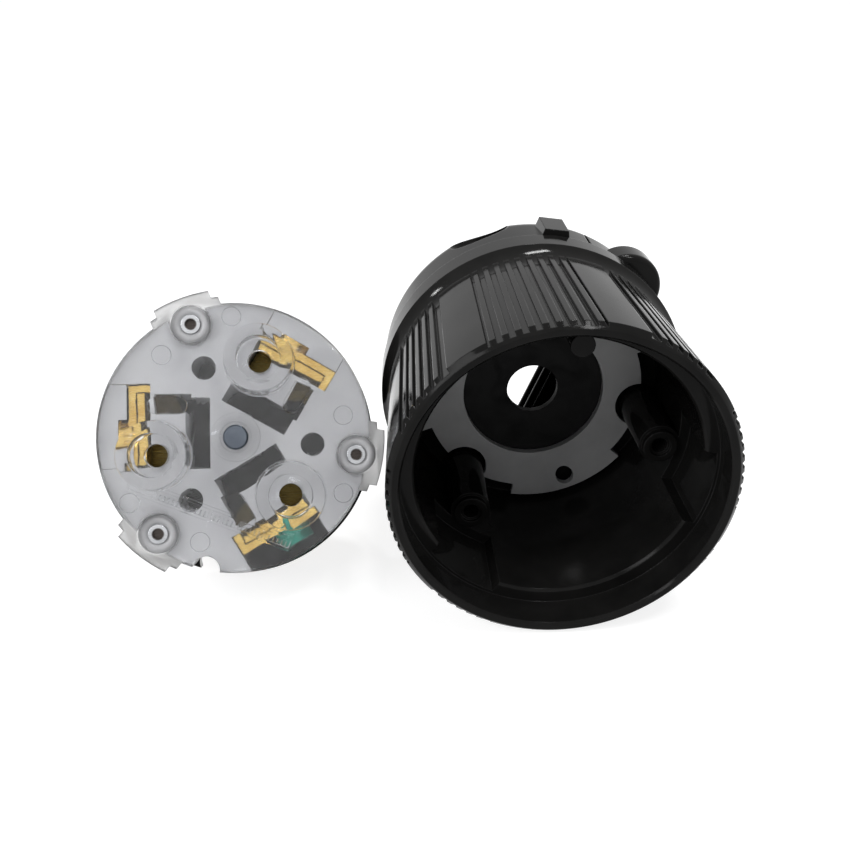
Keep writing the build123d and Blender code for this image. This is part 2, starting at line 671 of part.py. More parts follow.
# Blades and terminals: two line poles and the ground, a third of a turn apart
for i, pole in enumerate(("line_a", "line_b", "ground")):
    angle = terminal_angle + 120 * i
    with BuildPart() as blade:
        with BuildSketch(CARRIER.offset(-pocket_depth)):
            with PolarLocations(0, 1, start_angle=angle):
                Polygon(*sector, align=None)
            Circle(blade_out_r, mode=Mode.INTERSECT)
            Circle(blade_in_r, mode=Mode.SUBTRACT)
        extrude(amount=pocket_depth - carrier_length - blade_length)
        if pole == "ground":
            with BuildSketch(CARRIER.offset(-carrier_length)):
                with PolarLocations((hook_in_r + blade_mid_r) / 2, 1, start_angle=angle + blade_half_arc):
                    Rectangle(blade_mid_r - hook_in_r, 2 * hook_thick)
                with PolarLocations(0, 1, start_angle=angle):
                    Polygon(*sector, align=None, mode=Mode.INTERSECT)
            extrude(amount=-blade_length)
        tip = faces().sort_by(Axis(CARRIER.origin, -CARRIER.z_dir))[-1]
        chamfer(tip.edges(), blade_tip)
        with BuildSketch(CARRIER.offset(-carrier_length - notch_start)):
            with PolarLocations(blade_mid_r, 1, start_angle=angle - blade_half_arc):
                Rectangle(4 * blade_thick, 2 * notch_depth)
        extrude(amount=-notch_length, mode=Mode.SUBTRACT)
    blade.part.label = f"blade_{pole}"
    export_step(blade.part, f"parts/blade_{pole}.step")

    with BuildPart() as yoke:
        with BuildSketch(CARRIER.offset(-pocket_depth)):
            with PolarLocations(0, 1, start_angle=angle):
                with Locations(((pocket_in_r + fit + yoke_out_r) / 2, (yoke_low + yoke_high) / 2)):
                    Rectangle(yoke_out_r - pocket_in_r - fit, yoke_high - yoke_low)
        extrude(amount=clamp_wall)
        with BuildSketch(CARRIER.offset(-yoke_foot)):
            with PolarLocations(0, 1, start_angle=angle):
                with Locations((yoke_out_r - clamp_wall / 2, (yoke_low + yoke_high) / 2)):
                    Rectangle(clamp_wall, yoke_high - yoke_low)
                with Locations(((pocket_in_r + fit + yoke_out_r) / 2, yoke_low + clamp_wall / 2)):
                    Rectangle(yoke_out_r - pocket_in_r - fit, clamp_wall)
        extrude(amount=yoke_foot - roof_depth - fit)
        with BuildSketch(terminal_face(angle, yoke_out_r, terminal_screw_depth)):
            Circle(terminal_screw_r + fit / 4)
        extrude(amount=-clamp_wall, mode=Mode.SUBTRACT)
    yoke.part.label = f"terminal_clamp_{pole}"
    export_step(yoke.part, f"parts/terminal_clamp_{pole}.step")

    with BuildPart() as pressure_plate:
        with BuildSketch(CARRIER.offset(-yoke_foot + fit)):
            with PolarLocations(0, 1, start_angle=angle):
                with Locations((plate_out_r - clamp_wall / 2, (yoke_low + clamp_wall + yoke_high) / 2)):
                    Rectangle(clamp_wall, yoke_high - yoke_low - clamp_wall - 2 * fit)
        extrude(amount=yoke_foot - roof_depth - 3 * fit)
    pressure_plate.part.label = f"pressure_plate_{pole}"
    export_step(pressure_plate.part, f"parts/pressure_plate_{pole}.step")

    with BuildPart() as terminal_screw:
        with BuildSketch(terminal_face(angle, yoke_out_r, terminal_screw_depth)):
            Circle(terminal_head_r)
        extrude(amount=terminal_head_thick)
        with BuildSketch(terminal_face(angle, yoke_out_r, terminal_screw_depth)):
            Circle(terminal_screw_r)
        extrude(amount=-screw_travel)
        with BuildSketch(terminal_face(angle, yoke_out_r + terminal_head_thick, terminal_screw_depth)):
            Rectangle(2 * (terminal_head_r - drive_margin), drive_width)
        extrude(amount=-drive_depth, mode=Mode.SUBTRACT)
    terminal_screw.part.label = f"terminal_screw_{pole}"
    export_step(terminal_screw.part, f"parts/terminal_screw_{pole}.step")

# Assembly screws: captive in the carrier, heads sunk in the face, hollow ends in the cups of the lobes
for i, place in enumerate(("top", "left", "right")):
    angle = post_angle + 120 * i
    with BuildPart() as assembly_screw:
        with BuildSketch(CARRIER.offset(screw_head_thick + fit - carrier_length)):
            with PolarLocations(post_pitch_r, 1, start_angle=angle):
                Circle(screw_head_r)
        extrude(amount=-screw_head_thick)
        with BuildSketch(CARRIER.offset(screw_head_thick + fit - carrier_length)):
            with PolarLocations(post_pitch_r, 1, start_angle=angle):
                Circle(screw_r)
        extrude(amount=carrier_length - screw_head_thick - fit - cup_depth / 2)
        with BuildSketch(CARRIER.offset(fit - carrier_length)):
            with PolarLocations(post_pitch_r, 1, start_angle=angle):
                Rectangle(2 * (screw_head_r - drive_margin), drive_width)
        extrude(amount=drive_depth, mode=Mode.SUBTRACT)
        with BuildSketch(CARRIER.offset(-cup_depth / 2)):
            with PolarLocations(post_pitch_r, 1, start_angle=angle):
                Circle(screw_cup_r)
        extrude(amount=-cup_depth, mode=Mode.SUBTRACT)
    assembly_screw.part.label = f"assembly_screw_{place}"
    export_step(assembly_screw.part, f"parts/assembly_screw_{place}.step")
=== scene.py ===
# %% [markdown]
# A locking plug, opened for wiring
#
# The real thing is a round black plug for a thick cord, taken apart on a table. The ribbed shell lies
# on its side with its mouth to us, and the contact carrier leans beside it, terminals up, under a clear
# cover. The solids come packed in one fixed frame, so this lesson only finishes them: it gives every
# piece its material and adds the small things that are too fine for the solids.

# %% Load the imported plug
import json
import math

import bmesh
import bpy
from mathutils import Matrix, Vector


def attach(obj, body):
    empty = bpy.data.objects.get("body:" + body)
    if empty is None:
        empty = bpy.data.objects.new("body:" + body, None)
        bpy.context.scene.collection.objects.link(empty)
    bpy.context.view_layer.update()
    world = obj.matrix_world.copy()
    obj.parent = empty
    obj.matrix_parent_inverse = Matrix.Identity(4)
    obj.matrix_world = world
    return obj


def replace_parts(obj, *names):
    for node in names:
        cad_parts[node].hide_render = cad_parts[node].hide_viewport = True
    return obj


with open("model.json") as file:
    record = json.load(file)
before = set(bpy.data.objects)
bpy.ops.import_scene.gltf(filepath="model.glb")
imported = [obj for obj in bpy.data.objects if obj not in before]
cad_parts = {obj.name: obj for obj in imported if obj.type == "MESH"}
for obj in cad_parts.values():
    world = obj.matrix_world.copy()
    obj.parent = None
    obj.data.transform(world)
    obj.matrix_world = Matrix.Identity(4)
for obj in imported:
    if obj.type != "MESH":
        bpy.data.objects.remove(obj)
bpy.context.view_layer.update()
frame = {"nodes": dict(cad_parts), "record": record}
nodes = frame["nodes"]
scene = bpy.context.scene

# %% [markdown]
# The camera
#
# The plug was looked at from close by, a little from the left and from above, so near things are clearly
# larger than far ones. A long lens from far away would flatten that, so the camera stands at the true
# distance. Its place was worked out from how the round rim of the shell turns into an ellipse, and the
# lens follows from the same sum.

# %% Camera
CAMERA_PLACE = Vector((-0.003617, -0.161, 0.1116))
CAMERA_TURN, CAMERA_RISE = math.radians(-2.89), math.radians(28.08)
LENS_MM, SENSOR_MM = 42.35, 36.0
NEAREST = 0.005


def in_scene(name, data):
    """A new object in the scene."""
    thing = bpy.data.objects.new(name, data)
    scene.collection.objects.link(thing)
    return thing


def looking(place, away):
    """The matrix of a camera or lamp at a place, with its back in the direction away."""
    return Matrix.Translation(place) @ away.to_track_quat("Z", "Y").to_matrix().to_4x4()


camera = in_scene("plug_camera", bpy.data.cameras.new("plug_camera"))
camera.data.lens = LENS_MM
camera.data.sensor_width = SENSOR_MM
camera.data.clip_start = NEAREST
away = Vector(
    (
        math.sin(CAMERA_TURN) * math.cos(CAMERA_RISE),
        -math.cos(CAMERA_TURN) * math.cos(CAMERA_RISE),
        math.sin(CAMERA_RISE),
    )
)
camera.matrix_world = looking(CAMERA_PLACE, away)
scene.camera = camera
scene.view_settings.view_transform = "Standard"
print("camera looks down", round(math.degrees(CAMERA_RISE), 1), "degrees")

# %% [markdown]
# Small helpers for node trees
#
# Every finish below is a tree of nodes. Building a tree by hand is one line for each node and one for
# each wire, so a few short helpers keep the recipes readable. They add a node with its values and wires,
# do a sum, stretch a range of values, or mix two colours.

# %% Node helpers
# A Mix node has sockets for every kind of data. These are the places of those for colours.
MIX_MASK, MIX_FIRST, MIX_SECOND, MIX_RESULT = 0, 6, 7, 2


def feed(tree, socket, term):
    """Wire the output of another node to a socket, or give the socket a value."""
    if isinstance(term, bpy.types.NodeSocket):
        tree.links.new(term, socket)
    else:
        socket.default_value = term


def fill(tree, node, **sockets):
    """Feed a node's sockets, each called by its name with _ for a space."""
    for key, term in sockets.items():
        feed(tree, node.inputs[key.replace("_", " ")], term)


def add(tree, kind, settings=None, **sockets):
    """Add a node of any kind, with its settings, and feed its sockets."""
    node = tree.nodes.new(kind)
    for key, value in (settings or {}).items():
        setattr(node, key, value)
    fill(tree, node, **sockets)
    return node


def put(tree, kind, settings=None, **sockets):
    """Add a shader node."""
    return add(tree, "ShaderNode" + kind, settings, **sockets)


def sums(tree, operation, *terms):
    """A Math node with its terms in order, each a number or an output."""
    node = put(tree, "Math", {"operation": operation})
    for socket, term in zip(node.inputs, terms):
        feed(tree, socket, term)
    return node.outputs[0]


def spread(tree, value, low, high, to_low=0.0, to_high=1.0):
    """Stretch a part of a value's range, clamped at both ends."""
    node = put(tree, "MapRange", Value=value, From_Min=low, From_Max=high, To_Min=to_low, To_Max=to_high)
    return node.outputs[0]


def blend(tree, mask, first, second):
    """Mix two colours by a mask."""
    node = put(tree, "Mix", {"data_type": "RGBA"})
    for index, term in ((MIX_MASK, mask), (MIX_FIRST, first), (MIX_SECOND, second)):
        feed(tree, node.inputs[index], term)
    return node.outputs[MIX_RESULT]


print("helpers ready")

# %% [markdown]
# Lamps
#
# Glossy black shows a lamp as a glint, and pale plastic shows it as brightness, so one strong lamp can't
# serve both. Four soft ones share the work: a slim one overhead and a small one on the left glint on the
# shell, a wide one in front lights the face of the carrier, and a panel above fills in. They stay at a
# level at which pale plastic doesn't turn white.

# %% Lamps
AIM_POINT = Vector((0, 0, 0.03))


def soft_lamp(name, place, size, watts):
    """An area lamp, so wide and so deep, that faces the middle of the plug."""
    lamp = bpy.data.lights.new(name, "AREA")
    lamp.shape = "RECTANGLE"
    lamp.size, lamp.size_y = size
    lamp.energy = watts
    in_scene(name, lamp).matrix_world = looking(place, Vector(place) - AIM_POINT)


soft_lamp("overhead_softbox", place=(0.11, 0.24, 0.72), size=(0.16, 0.06), watts=2.2)
soft_lamp("front_softbox", place=(-0.62, -0.42, 0.55), size=(0.45, 0.45), watts=4.4)
soft_lamp("left_softbox", place=(-0.75, 0.33, 0.6), size=(0.08, 0.08), watts=1.8)
soft_lamp("ceiling_panel", place=(0.24, -0.26, 0.75), size=(0.14, 0.14), watts=1.7)

# %% [markdown]
# A pale room
#
# What the plug mirrors matters as much as what lights it. A room as bright as white paper would wash
# everything out, so the world has two strengths: a dim one that lights the plug, and white for the rays
# that see it, mirror it or pass through clear plastic. The Light Path node tells these rays apart.

# %% World
ROOM_COLOUR, ROOM_STRENGTH = (0.97, 0.98, 1.0, 1), 0.36
WHITE, WHITE_STRENGTH = (1, 1, 1, 1), 1.0


def seen_rays(tree):
    """One for rays that see, mirror or shine through, and zero for the rest."""
    path = put(tree, "LightPath").outputs
    first = sums(tree, "MAXIMUM", path["Is Camera Ray"], path["Is Glossy Ray"])
    return sums(tree, "MAXIMUM", first, path["Is Transmission Ray"])


world = bpy.data.worlds.new("pale_room")
scene.world = world
world.use_nodes = True
tree = world.node_tree
tree.nodes.clear()
room = put(tree, "Background", Color=ROOM_COLOUR, Strength=ROOM_STRENGTH)
white = put(tree, "Background", Color=WHITE, Strength=WHITE_STRENGTH)
mix = put(tree, "MixShader", Fac=seen_rays(tree))
feed(tree, mix.inputs[1], room.outputs[0])
feed(tree, mix.inputs[2], white.outputs[0])
put(tree, "OutputWorld", Surface=mix.outputs[0])
print("world", world.name)

# %% [markdown]
# The table
#
# The plug lies on a plain pale table. A paint as white as paper would throw much light back up at the
# plug, so the paint is grey, and a glow is added to it only for the rays that see or mirror it. The
# paint still takes the shadow of the plug.

# %% Floor
HALF_FLOOR = 3.0
FLOOR_PAINT, FLOOR_ROUGHNESS, FLOOR_GLOSS = (0.4, 0.4, 0.4, 1), 0.9, 0.1
FLOOR_GLOW = 0.82


def new_finish(name):
    """A new material, with its node tree and its main shader."""
    material = bpy.data.materials.new(name)
    material.use_nodes = True
    tree = material.node_tree
    return material, tree, tree.nodes["Principled BSDF"]


table, tree, paint = new_finish("pale_table")
fill(tree, paint, Base_Color=FLOOR_PAINT, Roughness=FLOOR_ROUGHNESS, Specular_IOR_Level=FLOOR_GLOSS)
glow = put(tree, "Emission", Strength=sums(tree, "MULTIPLY", seen_rays(tree), FLOOR_GLOW))
both = put(tree, "AddShader")
feed(tree, both.inputs[0], paint.outputs[0])
feed(tree, both.inputs[1], glow.outputs[0])
fill(tree, tree.nodes["Material Output"], Surface=both.outputs[0])

corners = [(x * HALF_FLOOR, y * HALF_FLOOR, 0) for x, y in ((-1, -1), (1, -1), (1, 1), (-1, 1))]
floor_mesh = bpy.data.meshes.new("floor")
floor_mesh.from_pydata(corners, [], [(0, 1, 2, 3)])
floor_mesh.materials.append(table)
floor = in_scene("floor", floor_mesh)
print("floor", 2 * HALF_FLOOR, "m wide")

# %% [markdown]
# Grain and patches
#
# Moulded plastic is never quite smooth: the mould leaves a fine grain, and the melt leaves faint broad
# patches. Painting them in each material would repeat the work, so they are a shader group with named
# inputs, built once and used with other values. It reads Object coordinates, in metres, so a grain of a
# third of a millimetre has a scale of about 3000.

# %% Grain group
FLOAT, VECTOR = "NodeSocketFloat", "NodeSocketVector"
PATCH_RANGE = (0.35, 0.65)


def shader_group(name, inputs, outputs):
    """An empty group with named sockets, what it is given, and its end node."""
    group = bpy.data.node_groups.new(name, "ShaderNodeTree")
    for label, value in inputs.items():
        socket = group.interface.new_socket(label, in_out="INPUT", socket_type=FLOAT)
        socket.default_value = value
    for label, kind in outputs.items():
        group.interface.new_socket(label, in_out="OUTPUT", socket_type=kind)
    return group, group.nodes.new("NodeGroupInput").outputs, group.nodes.new("NodeGroupOutput")


def object_place(tree):
    """Object coordinates, which are metres in the shared frame."""
    return put(tree, "TexCoord").outputs["Object"]


grain_group, given, result = shader_group(
    "moulded_grain",
    {"Grain Scale": 3000.0, "Patch Scale": 90.0},
    {"Height": FLOAT, "Patches": FLOAT},
)
place = object_place(grain_group)
fine = put(grain_group, "TexNoise", Vector=place, Scale=given["Grain Scale"], Detail=3.0, Roughness=0.6)
broad = put(grain_group, "TexNoise", Vector=place, Scale=given["Patch Scale"], Detail=4.0, Roughness=0.55)
patches = spread(grain_group, broad.outputs["Fac"], *PATCH_RANGE)
fill(grain_group, result, Height=fine.outputs["Fac"], Patches=patches)
print("group", grain_group.name)

# %% [markdown]
# Smudges
#
# A plug is handled, and hands leave dull smears. A noise whose own coordinates are pushed about gives
# smeared shapes rather than round blots. How much they cover is an input: it moves the level at which
# the noise counts as a smudge.

# %% Smudge group
SMEAR_PUSH = 1.6
SMUDGE_FADE = (-0.12, 0.16)

smudge_group, given, result = shader_group(
    "hand_smudges", {"Scale": 140.0, "Cover": 0.5}, {"Mask": FLOAT}
)
place = object_place(smudge_group)
smear = put(
    smudge_group, "TexNoise", Vector=place, Scale=given["Scale"], Detail=5.0, Distortion=SMEAR_PUSH
)
level = sums(smudge_group, "SUBTRACT", 1.0, given["Cover"])
over = sums(smudge_group, "SUBTRACT", smear.outputs["Fac"], level)
fill(smudge_group, result, Mask=spread(smudge_group, over, *SMUDGE_FADE))
print("group", smudge_group.name)

# %% [markdown]
# Hair scratches
#
# Handling also leaves fine scratches that run in a few directions. A picture of scratches would need
# unwrapped pieces, so a noise is stretched along one axis, and only the thin line where it passes one
# value is kept. Three such sets, each turned another way, cross each other.

# %% Scratch group
SCRATCH_TURNS, TUMBLE = (0.4, 1.5, 2.5), (1.0, 0.7, 1.3)
SCRATCH_STRETCH = (1.0, 24.0, 24.0)
SCRATCH_VALUE, SCRATCH_WIDTH = 0.68, 0.012

scratch_group, given, result = shader_group(
    "hair_scratches", {"Scale": 60.0, "Cover": 0.5}, {"Mask": FLOAT}
)
place = object_place(scratch_group)
strongest = 0.0
for turn in SCRATCH_TURNS:
    tumbled = [share * turn for share in TUMBLE]
    laid = put(scratch_group, "Mapping", Vector=place, Rotation=tumbled, Scale=SCRATCH_STRETCH)
    noise = put(scratch_group, "TexNoise", Vector=laid.outputs[0], Scale=given["Scale"], Detail=2.0)
    off_line = sums(scratch_group, "SUBTRACT", noise.outputs["Fac"], SCRATCH_VALUE)
    streak = spread(scratch_group, sums(scratch_group, "ABSOLUTE", off_line), SCRATCH_WIDTH, 0.0)
    strongest = sums(scratch_group, "MAXIMUM", streak, strongest)
fill(scratch_group, result, Mask=sums(scratch_group, "MULTIPLY", strongest, given["Cover"]))
print("group", scratch_group.name)

# %% [markdown]
# Soft edges
#
# No mould and no punch makes a perfectly sharp edge. Rounding each edge of every solid would cost many
# faces, so the Bevel node turns the normal near an edge as a small radius would. Where the turned normal
# leaves the plain one there is an edge, and that mask is handed on for wear.

# %% Edge group
EDGE_RANGE = (0.995, 0.8)
BEVEL_SAMPLES = 6

edge_group, given, result = shader_group(
    "soft_edges", {"Width": 0.0003}, {"Normal": VECTOR, "Edge": FLOAT}
)
rounded = put(edge_group, "Bevel", {"samples": BEVEL_SAMPLES}, Radius=given["Width"]).outputs[0]
plain = put(edge_group, "NewGeometry").outputs["Normal"]
likeness = put(edge_group, "VectorMath", {"operation": "DOT_PRODUCT"})
feed(edge_group, likeness.inputs[0], rounded)
feed(edge_group, likeness.inputs[1], plain)
edge = spread(edge_group, likeness.outputs["Value"], *EDGE_RANGE)
fill(edge_group, result, Normal=rounded, Edge=edge)
print("group", edge_group.name)

# %% [markdown]
# Moulded plastics
#
# The shell, the clamp and the front of the carrier are black glass-filled nylon with a satin gloss, the
# ring and the base are pale nylon, and the seal is soft rubber. One recipe serves them all: two close
# colours mixed by the broad patches, a roughness that smudges and scratches disturb, a fine grain as
# bump, and soft edges. Only the numbers differ, so the finishes stay alike, as mouldings are.

# %% Recipe for plastics
MM = 0.001
MELT_PATCHES = 95.0
SMUDGE_SCALE, SMUDGE_COVER = 150.0, 0.45
SCRATCH_SCALE, SCRATCH_COVER = 70.0, 0.6
EDGE_WEAR, GRAIN_STRENGTH = 0.5, 0.35


def use(tree, group, **values):
    """Place a shared group in a material with its own values, and give its outputs."""
    return put(tree, "Group", {"node_tree": group}, **values).outputs


def shallow_bump(tree, shader, height, edges, strength, depth):
    """A shallow bump, so many metres deep, over soft edges."""
    bump = put(tree, "Bump", Height=height, Normal=edges["Normal"], Strength=strength, Distance=depth)
    fill(tree, shader, Normal=bump.outputs[0])


def moulded(name, dark, light, gloss, grain, edge, specular, wear=None):
    """A moulded plastic: colours, roughness range, grain (scale, height in mm) and edge width in mm."""
    material, tree, shader = new_finish(name)
    grain_scale, grain_height = grain
    skin = use(tree, grain_group, Grain_Scale=grain_scale, Patch_Scale=MELT_PATCHES)
    smear = use(tree, smudge_group, Scale=SMUDGE_SCALE, Cover=SMUDGE_COVER)
    hair = use(tree, scratch_group, Scale=SCRATCH_SCALE, Cover=SCRATCH_COVER)
    edges = use(tree, edge_group, Width=edge * MM)
    colour = blend(tree, skin["Patches"], (*dark, 1), (*light, 1))
    if wear:
        handled = sums(tree, "MULTIPLY", smear["Mask"], EDGE_WEAR)
        colour = blend(tree, sums(tree, "MULTIPLY", edges["Edge"], handled), colour, (*wear, 1))
    dull = sums(tree, "MAXIMUM", smear["Mask"], hair["Mask"])
    fill(tree, shader, Base_Color=colour, Roughness=spread(tree, dull, 0.0, 1.0, *gloss))
    fill(tree, shader, Specular_IOR_Level=specular)
    shallow_bump(tree, shader, skin["Height"], edges, GRAIN_STRENGTH, grain_height * MM)
    return material


print("recipe for plastics ready")

# %% Plastics and rubber
black_nylon = moulded(
    "black_nylon", dark=(0.0065, 0.0064, 0.0062), light=(0.0115, 0.0112, 0.0108), gloss=(0.07, 0.17),
    grain=(2600.0, 0.013), edge=0.28, specular=0.065, wear=(0.05, 0.05, 0.052),
)
white_nylon = moulded(
    "white_nylon", dark=(0.42, 0.42, 0.42), light=(0.5, 0.5, 0.5), gloss=(0.42, 0.6),
    grain=(1800.0, 0.03), edge=0.15, specular=0.3,
)
pale_nylon = moulded(
    "pale_nylon", dark=(0.5, 0.5, 0.515), light=(0.58, 0.58, 0.59), gloss=(0.4, 0.55),
    grain=(1800.0, 0.03), edge=0.15, specular=0.4,
)
washer_nylon = moulded(
    "washer_nylon", dark=(0.44, 0.44, 0.45), light=(0.52, 0.52, 0.53), gloss=(0.35, 0.5),
    grain=(1800.0, 0.03), edge=0.15, specular=0.4,
)
seal_rubber = moulded(
    "seal_rubber", dark=(0.003, 0.003, 0.003), light=(0.007, 0.007, 0.007), gloss=(0.55, 0.75),
    grain=(1500.0, 0.05), edge=0.3, specular=0.12,
)
print("plastics", [m.name for m in (black_nylon, white_nylon, pale_nylon, washer_nylon, seal_rubber)])

# %% [markdown]
# Where the carrier is
#
# Some finishes and all the fine pieces follow the contact carrier, which leans back and is turned a
# little. Its place needn't be typed in: the three wire entries that the record names lie a third of a
# turn apart round its axis, so their middle is on the axis, and their common direction is the axis.

# %% Carrier frame
ENTRY_TURN, ENTRY_DEPTH = math.radians(72.5), 0.0011
entries = {m["name"]: m for m in frame["record"]["mounts"] if m["name"].startswith("wire_entry")}
first_entry = entries["wire_entry_line_a"]
middle = sum((Vector(m["pos_m"]) for m in entries.values()), Vector()) / len(entries)
carrier_z = Vector(first_entry["axis"]).normalized()
to_entry = (Vector(first_entry["pos_m"]) - middle).normalized()
carrier_x = Matrix.Rotation(-ENTRY_TURN, 3, carrier_z) @ to_entry
carrier_y = carrier_z.cross(carrier_x)
carrier_axes = Matrix((carrier_x, carrier_y, carrier_z)).transposed().to_4x4()
CARRIER = Matrix.Translation(middle + carrier_z * ENTRY_DEPTH) @ carrier_axes


def turned(degrees):
    """The carrier's frame, turned about its axis."""
    return CARRIER @ Matrix.Rotation(math.radians(degrees), 4, "Z")


print("carrier leans", round(math.degrees(math.asin(carrier_z.z)), 2), "degrees")

# %% [markdown]
# Places on the carrier, for materials
#
# On the real carrier what a spot looks like depends on where it is: out on a lobe, round a screw post,
# or deep in a pocket. Separate materials for each would leave hard borders, so the nodes below work out
# the distance from the axis, the height and the turn from Object coordinates, and fade between looks.

# %% Carrier places
POST_PITCH, POST_TURN = 0.0205, 111.0
SIXTH = math.radians(60)


def span(tree, first, second):
    """The distance that two steps at right angles make."""
    squares = [sums(tree, "POWER", step, 2.0) for step in (first, second)]
    return sums(tree, "SQRT", sums(tree, "ADD", *squares))


def on_carrier(tree):
    """The distance from the carrier's axis, the height over the cover's face, and the turn."""
    local = put(
        tree, "Mapping", {"vector_type": "TEXTURE"},
        Vector=object_place(tree), Location=CARRIER.to_translation(), Rotation=CARRIER.to_euler(),
    )
    axes = put(tree, "SeparateXYZ", Vector=local.outputs[0]).outputs
    return span(tree, axes["X"], axes["Y"]), axes["Z"], sums(tree, "ARCTAN2", axes["Y"], axes["X"])


def to_nearest_post(tree, radius, turn):
    """The distance from the axis of the nearest of the three screw posts."""
    past_first = sums(tree, "SUBTRACT", turn, math.radians(POST_TURN))
    past_nearest = sums(tree, "WRAP", past_first, SIXTH, -SIXTH)
    outward = sums(tree, "MULTIPLY", radius, sums(tree, "COSINE", past_nearest))
    across = sums(tree, "MULTIPLY", radius, sums(tree, "SINE", past_nearest))
    return span(tree, sums(tree, "SUBTRACT", outward, POST_PITCH), across)


print("posts", round(POST_PITCH / MM, 1), "mm from the axis")

# %% [markdown]
# The clear cover
#
# The terminal cover is clear plastic, a little frosted by its mould. Real glass in the renderer bends
# what lies under it, which a see-through paint can't do, so it is nearly full transmission with a low
# roughness that rises in smudges. The three lobes stand out past the pale base and are frosted, and so
# are the cups round the screws, so both are greyer. Edges are greyer too.

# %% Clear cover
DISC_EDGE = 0.0227
LOBE_FADE, CUP_FADE = (DISC_EDGE - 0.0005, DISC_EDGE), (0.0037, 0.0033)
CLEAR, FROSTED, EDGE_GREY = (0.95, 0.955, 0.965, 1), (0.64, 0.64, 0.64, 1), (0.42, 0.43, 0.45, 1)
EDGE_SHARE, SMUDGE_SHARE = 0.8, 0.5
COVER_GLOSS, COVER_EDGE = (0.05, 0.45), 0.00022

clear_cover, tree, shader = new_finish("clear_cover")
fill(tree, shader, Transmission_Weight=0.985, IOR=1.4)
skin = use(tree, grain_group, Grain_Scale=1500.0)
smear = use(tree, smudge_group, Scale=170.0, Cover=0.5)
hair = use(tree, scratch_group, Scale=60.0, Cover=0.7)
edges = use(tree, edge_group, Width=COVER_EDGE)
radius, _, turn = on_carrier(tree)
on_lobe = spread(tree, radius, *LOBE_FADE)
on_cup = spread(tree, to_nearest_post(tree, radius, turn), *CUP_FADE)
frost = sums(tree, "MAXIMUM", on_lobe, on_cup)
tint = blend(tree, frost, CLEAR, FROSTED)
tint = blend(tree, sums(tree, "MULTIPLY", edges["Edge"], EDGE_SHARE), tint, EDGE_GREY)
handled = sums(tree, "MULTIPLY", sums(tree, "MAXIMUM", smear["Mask"], hair["Mask"]), SMUDGE_SHARE)
dull = sums(tree, "MAXIMUM", handled, frost)
fill(tree, shader, Base_Color=tint, Roughness=spread(tree, dull, 0.0, 1.0, *COVER_GLOSS))
shallow_bump(tree, shader, skin["Height"], edges, strength=0.1, depth=0.01 * MM)
print("cover", clear_cover.name)

# %% [markdown]
# Metals
#
# The blades and terminals are stamped brass, the fasteners zinc-plated steel, and the ground screw is
# dyed green. Metal shows its making in its roughness: rolled stock has fine lines along one direction,
# so a noise stretched along one axis drives both roughness and a very shallow bump. Tarnish follows the
# broad patches, and dye is thin on edges. Brass deep down in a pocket is painted dark brown as shade, and
# the middle of the assembly screws' ends is painted dark as the shade in their hollow.

# %% Recipe for metals
ROLL_STRETCH, ROLL_SCALE, ROLL_RANGE = (1.0, 1.0, 40.0), 260.0, (0.3, 0.7)
TARNISH_PATCHES = 260.0
METAL_SCRATCH_SCALE, METAL_SCRATCH_COVER = 160.0, 0.8
WORN_SHARE, ROLL_STRENGTH, ROLL_DEPTH = 0.7, 0.2, 0.02 * MM
DEEP_SHADE_HEIGHTS = (-0.0065, -0.0105)
HOLLOW_SHADE_RADII, HOLLOW_SHADE_HEIGHTS = (0.0011, 0.0009), (-0.004, -0.002)


def rolled(name, bright, tarnish, gloss, edge, metal=1.0, worn=None, deep=None, hollow_shade=None):
    """A rolled or plated metal: two colours, a roughness range and the edge width in mm."""
    material, tree, shader = new_finish(name)
    skin = use(tree, grain_group, Patch_Scale=TARNISH_PATCHES)
    hair = use(tree, scratch_group, Scale=METAL_SCRATCH_SCALE, Cover=METAL_SCRATCH_COVER)
    edges = use(tree, edge_group, Width=edge * MM)
    laid = put(tree, "Mapping", Vector=object_place(tree), Scale=ROLL_STRETCH)
    lines = put(tree, "TexNoise", Vector=laid.outputs[0], Scale=ROLL_SCALE, Detail=3.0).outputs["Fac"]
    colour = blend(tree, skin["Patches"], (*bright, 1), (*tarnish, 1))
    if worn:
        colour = blend(tree, sums(tree, "MULTIPLY", edges["Edge"], WORN_SHARE), colour, (*worn, 1))
    # Painted shade: brass far below the cover's face is darkened towards brown, as shade falls deep in a
    # pocket.
    if deep:
        height = on_carrier(tree)[1]
        colour = blend(tree, spread(tree, height, *DEEP_SHADE_HEIGHTS), colour, (*deep, 1))
    # Painted shade: the middle of a screw's end is darkened where its hollow would be in shade.
    if hollow_shade:
        radius, height, turn = on_carrier(tree)
        near_axis = spread(tree, to_nearest_post(tree, radius, turn), *HOLLOW_SHADE_RADII)
        dark = sums(tree, "MULTIPLY", near_axis, spread(tree, height, *HOLLOW_SHADE_HEIGHTS))
        colour = blend(tree, dark, colour, (*hollow_shade, 1))
    rough = sums(tree, "MAXIMUM", spread(tree, lines, *ROLL_RANGE), hair["Mask"])
    fill(tree, shader, Base_Color=colour, Roughness=spread(tree, rough, 0.0, 1.0, *gloss))
    fill(tree, shader, Metallic=metal)
    shallow_bump(tree, shader, lines, edges, ROLL_STRENGTH, ROLL_DEPTH)
    return material


print("recipe for metals ready")

